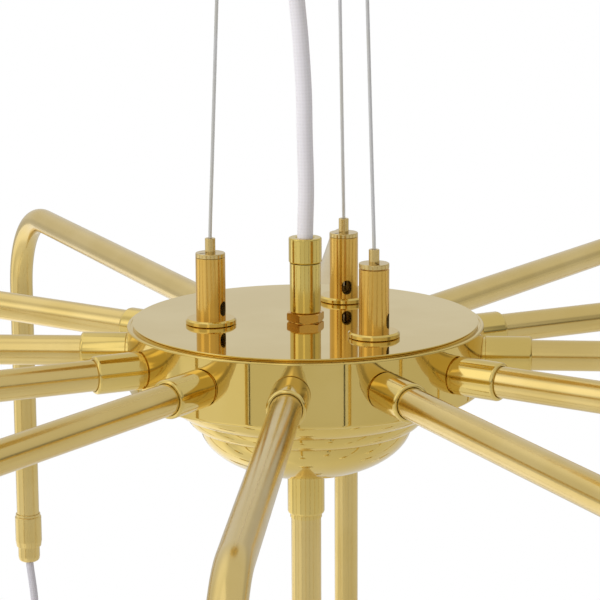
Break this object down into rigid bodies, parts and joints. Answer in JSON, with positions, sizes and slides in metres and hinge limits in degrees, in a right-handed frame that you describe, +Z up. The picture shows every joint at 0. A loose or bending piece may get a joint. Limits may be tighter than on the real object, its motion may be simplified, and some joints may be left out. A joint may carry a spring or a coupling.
{
  "type": "multi arm chandelier",
  "caption": "Brass chandelier: a round hub on three wires with bent tube arms alternating in reach, a centre tube, and globe lamps on textile cables.",
  "frame": {"origin": "middle of the ceiling face, the top of the canopy bracket", "axes": "+Z up into the ceiling, -Y towards the viewer, +X to the viewer's right"},
  "size_m": [0.8483, 0.7773, 0.7803],
  "materials": {
    "polished_brass": "polished",
    "warm_brass": "polished",
    "copper_toned_nut": "satin",
    "zinc_steel": "zinc plated",
    "steel_wire": "stranded",
    "white_textile": "woven sleeve",
    "grey_textile": "woven sleeve",
    "white_plastic": "matt",
    "opal_glass": "opal"
  },
  "bodies": {
    "hub": {"canopy_bracket": "zinc_steel", "canopy_cup": "polished_brass", "canopy_fixings": "warm_brass", "canopy_gland": "polished_brass", "terminal_blocks": "white_plastic", "wire_1": "steel_wire", "wire_2": "steel_wire", "wire_3": "steel_wire", "power_cord": "white_textile", "gripper_flanges": "warm_brass", "gripper_bodies": "warm_brass", "gripper_caps": "warm_brass", "spring_1": "zinc_steel", "spring_2": "zinc_steel", "spring_3": "zinc_steel", "gland_nut": "copper_toned_nut", "gland_body": "polished_brass", "gland_cap": "polished_brass", "top_plate": "polished_brass", "drum": "polished_brass", "bowl": "polished_brass", "tie_rods": "zinc_steel", "lock_nuts": "zinc_steel", "tube_collars": "polished_brass", "centre_tube": "polished_brass", "arm_1": "polished_brass", "arm_2": "polished_brass", "arm_3": "polished_brass", "arm_4": "polished_brass", "arm_5": "polished_brass", "arm_6": "polished_brass", "arm_7": "polished_brass", "arm_8": "polished_brass", "arm_9": "polished_brass", "arm_10": "polished_brass", "arm_11": "polished_brass", "arm_12": "polished_brass", "cable_grips": "polished_brass", "grip_caps": "polished_brass", "cable_1": "grey_textile", "cable_2": "grey_textile", "cable_3": "grey_textile", "cable_4": "grey_textile", "cable_5": "grey_textile", "cable_6": "grey_textile", "cable_7": "grey_textile", "cable_8": "grey_textile", "cable_9": "grey_textile", "cable_10": "grey_textile", "cable_11": "grey_textile", "cable_12": "grey_textile", "cable_13": "grey_textile", "lampholders": "polished_brass", "lamp_sockets": "white_plastic", "bulbs": "opal_glass"},
    "plunger_1_body": {"plunger_1": "polished_brass"},
    "plunger_2_body": {"plunger_2": "polished_brass"},
    "plunger_3_body": {"plunger_3": "polished_brass"}
  },
  "joints": [
    {"name": "plunger_1_press", "type": "slide", "parent": "hub", "child": "plunger_1_body", "axis": [0, 0, -1], "range_m": [0, 0.0025], "stiffness_N_per_m": 400, "springref_m": -0.003, "deforming": ["spring_1"]},
    {"name": "plunger_2_press", "type": "slide", "parent": "hub", "child": "plunger_2_body", "axis": [0, 0, -1], "range_m": [0, 0.0025], "stiffness_N_per_m": 400, "springref_m": -0.003, "deforming": ["spring_2"]},
    {"name": "plunger_3_press", "type": "slide", "parent": "hub", "child": "plunger_3_body", "axis": [0, 0, -1], "range_m": [0, 0.0025], "stiffness_N_per_m": 400, "springref_m": -0.003, "deforming": ["spring_3"]}
  ]
}
